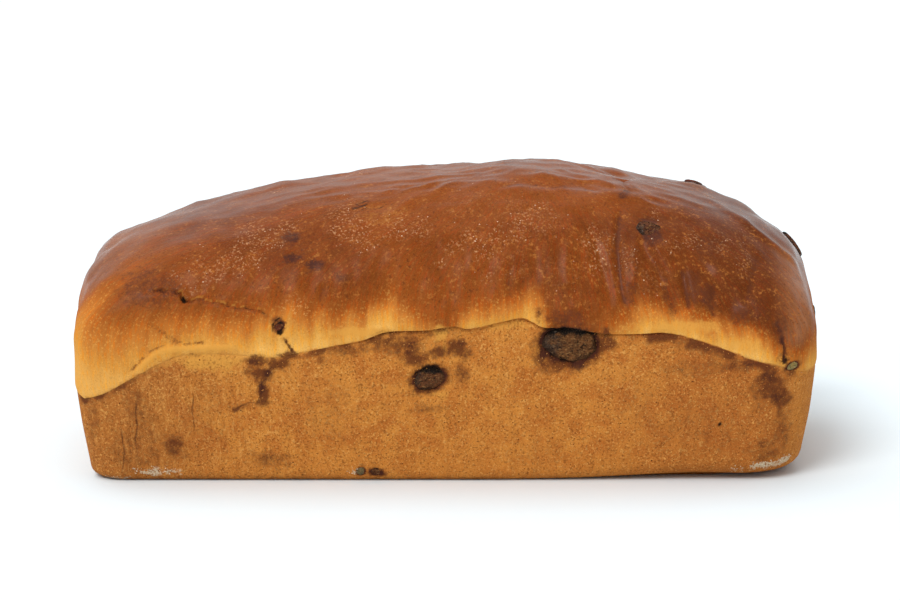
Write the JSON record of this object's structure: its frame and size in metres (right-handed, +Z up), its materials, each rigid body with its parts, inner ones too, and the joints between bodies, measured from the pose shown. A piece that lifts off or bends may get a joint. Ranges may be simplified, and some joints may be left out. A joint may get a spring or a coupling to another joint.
{
  "type": "raisin brioche loaf",
  "caption": "Long tin-baked loaf of raisin brioche with a domed chestnut crown, a pale stretched band, grainy golden-brown walls and raisins set in the crust.",
  "frame": {"origin": "under the middle of the loaf, on the flat base that it rests on", "axes": "+X along the loaf to its right-hand end seen from the front, -Y out of the long front side, +Z up"},
  "size_m": [0.2498, 0.1174, 0.0997],
  "materials": {
    "bread": "baked crust, grainy on the walls and lightly glazed on the crown",
    "raisin": "dark wrinkled dried fruit",
    "peel": "green candied peel"
  },
  "bodies": {
    "root": {"loaf": "bread", "raisin_front_large": "raisin", "raisin_front_small": "raisin", "raisin_front_seam": "raisin", "raisin_front_crown": "raisin", "raisin_foot": "raisin", "raisin_shoulder": "raisin", "raisin_top_right": "raisin", "raisin_right_end_low": "raisin", "raisin_right_end_seam": "raisin", "raisin_back_right": "raisin", "raisin_back_middle": "raisin", "raisin_back_left": "raisin", "raisin_back_crown": "raisin", "raisin_left_end": "raisin", "peel_corner": "peel", "peel_foot": "peel"}
  },
  "joints": []
}
